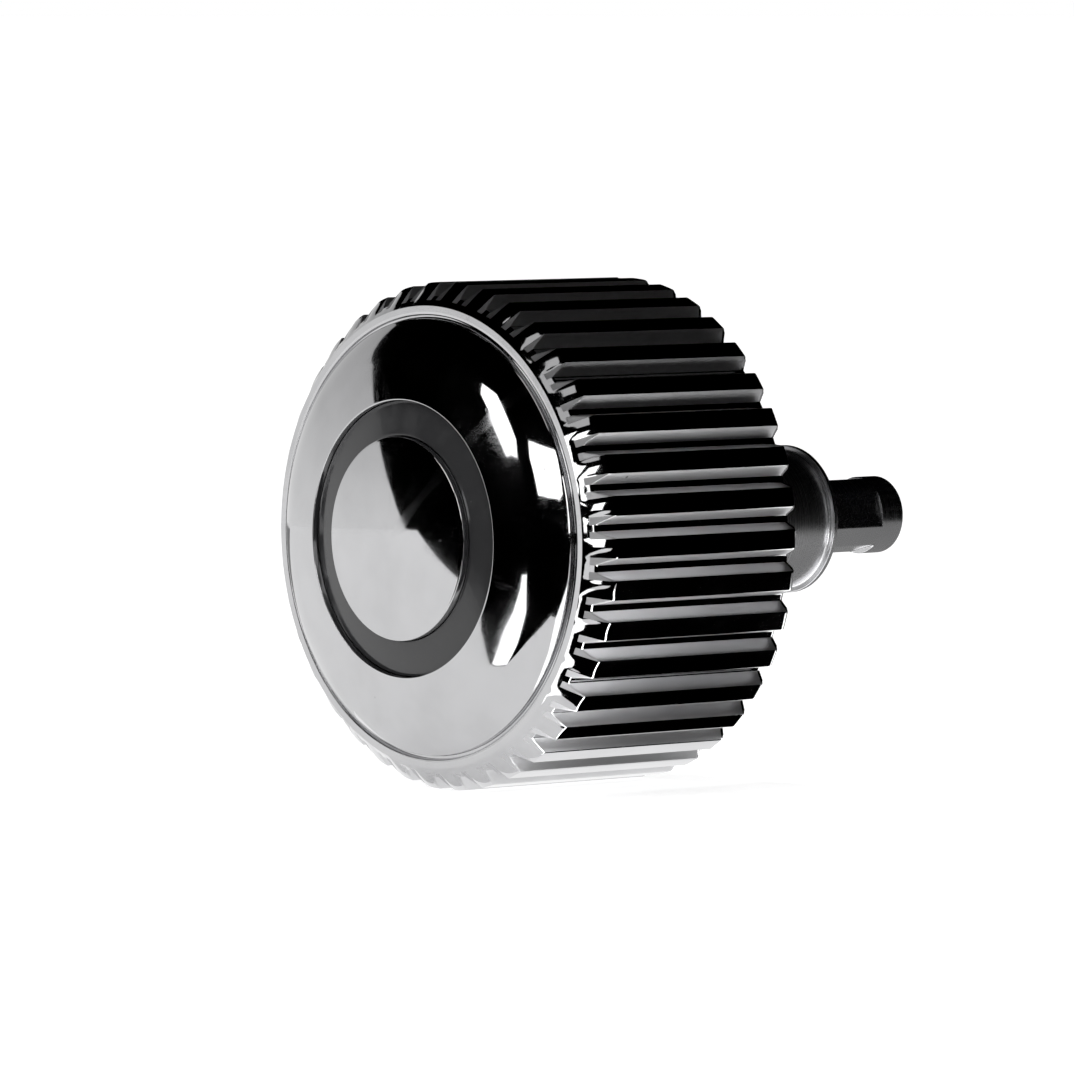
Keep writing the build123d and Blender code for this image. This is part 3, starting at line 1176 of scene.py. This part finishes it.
@dataclass
class Coupler:
    """The sliding stem coupler and the washer on its nose. Sizes in millimetres."""

    pilot: float = 0.32
    pilot_front: float = 2.02
    pilot_edge: float = 0.04
    pilot_root: float = 0.02
    piston: float = 0.68
    piston_front: float = 2.32
    piston_rear: float = 2.78
    piston_edge: float = 0.03
    neck: float = 0.55
    neck_points: Triple = (2.83, 3.3, 3.9)
    flat: float = 0.485
    flat_turn: float = 14.0
    flats_end: float = 4.42
    # Room beside the flats' end, half the thin step there, and the rounding of the flats' edges
    end_room: float = 0.04
    end_step: float = 0.0004
    flats_edge: float = 0.014
    edges: Span = (2.82, 4.43)
    end: float = 4.85
    end_rounding: float = 0.12
    hole: float = 0.36
    hole_edge: float = 0.01
    hole_floor: float = 2.95
    hole_tip: float = 2.7337
    hole_chamfer: float = 0.04
    washer_radius: float = 0.66
    washer_hole: float = 0.35
    washer_front: float = 2.17
    washer_edge: float = 0.02

    def body(self) -> bpy.types.Object:
        """Makes the coupler: turned first, then its four flats are pressed in and their edges broken.

        Returns:
            The dressed coupler.
        """
        step, room = self.end_step, self.end_room
        outline = rounded([
            (0.0, self.pilot_front),
            (self.pilot, self.pilot_front, self.pilot_edge),
            (self.pilot, self.piston_front, self.pilot_root),
            (self.piston, self.piston_front, self.piston_edge),
            (self.piston, self.piston_rear, self.piston_edge),
            (self.neck, self.piston_rear),
            *((self.neck, y) for y in self.neck_points),
            *((self.neck, self.flats_end + way) for way in (-room, -step, step, room)),
            (self.neck, self.end, self.end_rounding),
            (self.hole + self.hole_chamfer, self.end, self.hole_edge),
            (self.hole, self.end - self.hole_chamfer),
            (self.hole, self.hole_floor),
            (0.0, self.hole_tip),
        ], steps=6, hold=True)
        blank = Blank("coupler_body").draw(outline).spin(COLUMNS)
        outside = (self.hole + self.flat) / 2

        def on_neck(co: Vector) -> bool:
            """Whether a vertex lies on the neck's side, in front of the round collar."""
            radius = math.hypot(co.x, co.z)
            return outside < radius < self.neck + step and self.piston_rear - step < co.y < self.flats_end

        def at_flats(middle: Vector) -> bool:
            """Whether an edge is one of the flats' edges."""
            return math.hypot(middle.x, middle.z) > outside and self.edges[0] < middle.y < self.edges[1]

        blank.press_flats(on_neck, self.flat, self.flat_turn).round_edges(at_flats, self.flats_edge)
        return dress(blank.finish(), COUPLER_STEEL, Body.COUPLER, "stem_coupler")

    def washer(self) -> bpy.types.Object:
        """Makes the thrust washer between the spring and the piston.

        Returns:
            The dressed washer.
        """
        sizes = (self.washer_hole, self.washer_radius, self.washer_front, self.piston_front, self.washer_edge)
        piece = turned("thrust_washer", ring_outline(*sizes), columns=96)
        return dress(piece, WASHER_STEEL, Body.COUPLER, "spring_washer")


# Studio

# Heights in metres between which a card's foot and its top change their level
CARD_FOOT: Span = (-0.006, 0.016)
CARD_TOP: Span = (0.012, 0.050)
CARD_TOP_SHARE = 0.6


def direction(azimuth: float, elevation: float) -> Vector:
    """Direction from the crown; azimuth 0 looks along -Y and 90 along +X, both in degrees."""
    turn, tilt = math.radians(azimuth), math.radians(elevation)
    return Vector((math.sin(turn) * math.cos(tilt), -math.cos(turn) * math.cos(tilt), math.sin(tilt)))


def reflection_only(card: bpy.types.Object, level: float, foot_level: Optional[float] = None) -> None:
    """Gives a studio card its light, and hides it from all but reflections.

    Args:
        card: The card.
        level: How bright it is; 1 is white.
        foot_level: How bright its foot is, where that differs; its top is then a little darker too.
    """
    recipe = Recipe.named(card.name)
    light = {"Color": WHITE, "Strength": level}
    if foot_level is not None:
        height = recipe.add("ShaderNodeSeparateXYZ", {}, {0: recipe.place}, "Z")
        shade = recipe.mix(height.ramp(*CARD_FOOT), toned(WHITE, foot_level), toned(WHITE, level))
        shade = recipe.mix(height.ramp(*CARD_TOP), shade, toned(WHITE, CARD_TOP_SHARE * level))
        light = {"Color": shade, "Strength": 1.0}
    card.data.materials.append(recipe.close(recipe.add("ShaderNodeEmission", {}, light)))
    card.visible_camera = card.visible_diffuse = card.visible_shadow = False
    card.visible_transmission = card.visible_volume_scatter = False


@dataclass(frozen=True)
class Card:
    """A sheet of card that only polished surfaces see. A level of 0 is black.

    Its corners are azimuths and elevations.
    """

    name: str
    level: float
    corners: tuple[Point, ...]
    distance: float = 80.0
    foot_level: Optional[float] = None

    def places(self) -> list[Vector]:
        """The card's corners around the crown, in millimetres."""
        return [self.distance * direction(*corner) for corner in self.corners]

    def build(self) -> None:
        """Cuts the card out and puts it up."""
        blank = Blank(self.name).draw(self.places(), closed=True)
        bpy.ops.mesh.select_all(action="SELECT")
        bpy.ops.mesh.remove_doubles(threshold=MERGE_MM)
        bpy.ops.mesh.select_all(action="SELECT")
        bpy.ops.mesh.edge_face_add()
        reflection_only(blank.finish(), self.level, self.foot_level)


@dataclass(frozen=True)
class FloorCard(Card):
    """A card that lies on the floor, with its corners as X and Y in millimetres."""

    height: float = -3.49

    def places(self) -> list[Vector]:
        """The card's corners on the floor."""
        return [Vector((*corner, self.height)) for corner in self.corners]


@dataclass(frozen=True)
class Tent:
    """A part of a sphere around the crown that only polished surfaces see. Its spans are in degrees."""

    name: str
    level: float
    azimuths: Span
    elevations: Span
    distance: float
    steps: int = 24

    def build(self) -> None:
        """Hangs the tent up."""

        def place(column: int, row: int) -> Vector:
            """Place of a grid point on the tent.

            Args:
                column: Its place from the first azimuth on.
                row: Its place from the first elevation on.

            Returns:
                The point in millimetres.
            """
            azimuth, elevation = (
                start + (end - start) * way / self.steps
                for way, (start, end) in zip((column, row), (self.azimuths, self.elevations))
            )
            return self.distance * direction(azimuth, elevation)

        reflection_only(Blank.grid(self.name, self.steps, self.steps, place).finish(), self.level)


@dataclass(frozen=True)
class Lamp:
    """A large soft lamp that polished surfaces don't mirror. Sizes in millimetres, power in watts."""

    name: str
    azimuth: float
    elevation: float
    watts: float
    size: float = 160.0
    distance: float = 150.0

    def build(self) -> None:
        """Hangs the lamp up, facing the crown."""
        back = direction(self.azimuth, self.elevation)
        data = bpy.data.lights.new(self.name, "AREA")
        data.energy, data.size, data.shape = self.watts, self.size * MILLIMETRE, "DISK"
        lamp = bpy.data.objects.new(self.name, data)
        bpy.context.scene.collection.objects.link(lamp)
        lamp.location = back * self.distance * MILLIMETRE
        lamp.rotation_euler = back.to_track_quat("Z", "Y").to_euler()
        lamp.visible_glossy = False


FITTINGS: tuple[Union[Card, Tent, Lamp], ...] = (
    Tent("black_tent", 0.0, (-180, 180), (-2.6, 90), 95.0),
    Card("left_card", 0.6, (
        (-135, -2), (-118, 10), (-100, 28), (-90, 31), (-80, 26), (-60, 15.5), (-43.5, -2.2),
    ), foot_level=0.91),
    Card("right_softbox", 2.6, ((0.5, 18), (3, 24.5), (20, 29), (34, 31.5), (34.5, 15), (30, 12.5), (4, 9))),
    Card("left_softbox", 2.6, ((-28, 20), (-25, 28), (-17, 30), (-10.5, 18), (-14, 12), (-22, 9), (-27, 14))),
    Card("bevel_softbox", 2.6, ((39, 2), (39, 22), (47, 25), (47, 2))),
    Card("top_strip", 0.6, ((0, 60), (30, 40), (42, 42), (25, 64))),
    FloorCard("front_flag", 0.0, (
        (0.6, -7.6), (2, -8.3), (4.6, -8.8), (5, -8), (9, -11.5), (30, -30), (100, -86), (0, -130),
        (-100, -107), (-8.7, -19.9), (-4.1, -13.7), (-1, -8.6),
    )),
    FloorCard("low_wedge", 2.2, (
        (0.7, -7.6), (0.9, -9), (0.5, -13), (-1.2, -17.5), (-3, -22), (-4.5, -26), (-5.8, -26), (-4, -20.5),
        (-2.5, -15), (-1.7, -11.5), (-0.9, -8.6),
    ), height=-3.48),
    FloorCard("low_right_card", 2.0, (
        (2.4, -4.6), (3.6, -5.9), (5, -8), (8.4, -10.8), (9.3, -10.2), (6.7, -8.3), (4.4, -5.85),
        (3.15, -4.65),
    )),
    FloorCard("bevel_flag", 0.0, (
        (2.9, -3.75), (3.15, -4.65), (4.4, -5.85), (6.7, -8.3), (9.3, -10.2), (13, -12), (13, -2.5),
        (11, -2.5), (6, -3.6), (3, -3.5),
    )),
    FloorCard("rear_card", 3.0, (
        (-3, 1), (1.9, 0.95), (3, 1.6), (4, 2.3), (6, 3.7), (8.5, 6.2), (8.5, 7), (5, 4.4), (3, 3.0),
        (-3, 2.4),
    ), height=-3.494),
    FloorCard("post_card", 0.25, (
        (-60, 2.4), (3, 3.0), (5, 4.4), (8.5, 7), (13, 9.5), (10, 22), (4, 60), (-60, 60),
    ), height=-3.496),
    FloorCard("side_card", 8.0, (
        (2.0, -3.3), (4, -2.4), (6, -1.1), (10, 1.6), (11, 2.2), (11, -2.5), (6, -3.6), (3, -3.5),
    ), height=-3.494),
    FloorCard("under_card", 1.1, ((-4, -3.4), (1.9, -3.4), (1.9, 1), (-4, 1)), height=-3.4985),
    FloorCard("far_flag", 0.0, (
        (13, -12), (90, -60), (130, 0), (100, 60), (60, 100), (8, 90), (5, 16), (10, 16), (13, 9.5),
    )),
    FloorCard("land_strip", 0.0, (
        (1.95, -3), (3, -2.6), (4, -2.1), (6, -0.9), (10, 1.8), (20, 9), (70, 44), (70, 66), (20, 17),
        (10, 7.6), (6, 3.6), (4, 2.2), (3, 1.5), (1.95, 0.9),
    )),
    Lamp("key_lamp", -40.0, 55.0, 0.075),
    Lamp("fill_lamp", 70.0, 50.0, 0.045),
)


@dataclass
class Studio:
    """The floor, the camera, and the light of the room. Sizes in millimetres."""

    floor_level: float = -3.502
    floor_half: float = 4000.0
    floor_colour: Colour = (0.8, 0.8, 0.8)
    floor_roughness: float = 0.9
    # The floor's grain and its tone, and its glow with the share of it that is mirrored
    grain: float = 0.6
    grain_share: float = 0.05
    grain_colour: Colour = (0.76, 0.76, 0.76)
    glow: float = 0.62
    mirrored: float = 0.55
    room_light: float = 0.45
    # Camera, solved from the circles of the crown in the photograph
    azimuth: float = 48.778
    elevation: float = 3.555
    roll: float = 0.11
    distance: float = 120.97
    focal_pixels: float = 8638.48
    shift_right: float = -1.261
    shift_up: float = -0.142
    image_pixels: float = 1074.0
    sensor: float = 36.0
    clip: Span = (1.0, 10000.0)

    def camera(self) -> None:
        """Sets up the camera at the photograph's viewpoint."""
        back, roll = direction(self.azimuth, self.elevation), math.radians(self.roll)
        right = (-back).cross(Vector((0, 0, 1))).normalized()
        up = right.cross(-back)
        place = back * self.distance + right * self.shift_right + up * self.shift_up
        rolled_right = right * math.cos(roll) + up * math.sin(roll)
        rolled_up = up * math.cos(roll) - right * math.sin(roll)
        axes = Matrix((rolled_right, rolled_up, back)).transposed().to_4x4()
        data = bpy.data.cameras.new("photo_camera")
        data.sensor_width = self.sensor
        data.lens = self.sensor * self.focal_pixels / self.image_pixels
        data.clip_start, data.clip_end = (MILLIMETRE * end for end in self.clip)
        camera = bpy.data.objects.new("photo_camera", data)
        bpy.context.scene.collection.objects.link(camera)
        camera.matrix_world = Matrix.Translation(place * MILLIMETRE) @ axes
        bpy.context.scene.camera = camera

    def floor(self) -> None:
        """Lays the pale floor, which shows white wherever no shadow falls on it."""
        half, level = self.floor_half, self.floor_level
        floor = Blank.grid(
            "pale_floor", 2, 2, lambda column, row: Vector((half * (column - 1), half * (row - 1), level))
        ).finish()
        recipe = Recipe.named("pale_floor")
        colour = recipe.mix(recipe.noise(self.grain) * self.grain_share, self.floor_colour, self.grain_colour)
        glow = recipe.seen(self.mirrored) * self.glow
        floor.data.materials.append(recipe.surface(
            Base_Color=colour, Roughness=self.floor_roughness, Emission_Color=WHITE, Emission_Strength=glow,
        ))

    def room(self) -> None:
        """Makes the background white for what looks at it, and plain grey light for the rest."""
        world = bpy.data.worlds.new("white_room")
        bpy.context.scene.world = world
        recipe = Recipe(world)
        strength = recipe.add("ShaderNodeMapRange", {}, {"Value": recipe.seen(), "To Min": self.room_light})
        recipe.close(recipe.add("ShaderNodeBackground", {}, {"Color": WHITE, "Strength": strength}), "World")

    def build(self) -> None:
        """Sets the whole studio up."""
        bpy.context.scene.view_settings.view_transform = "Standard"
        self.camera()
        self.floor()
        self.room()
        for fitting in FITTINGS:
            fitting.build()


def main() -> None:
    """Builds the studio and the crown, and logs each piece's triangles, finish and body."""
    logging.basicConfig(level=logging.INFO, format="%(name)s: %(message)s")
    Studio().build()
    head, post, coupler = Head(), Post(), Coupler()
    for build in (
        head.body, head.lacquer, head.gasket, head.washer, post.tube, post.guide, post.seal, post.spring,
        coupler.body, coupler.washer,
    ):
        build()


if __name__ == "__main__":
    main()
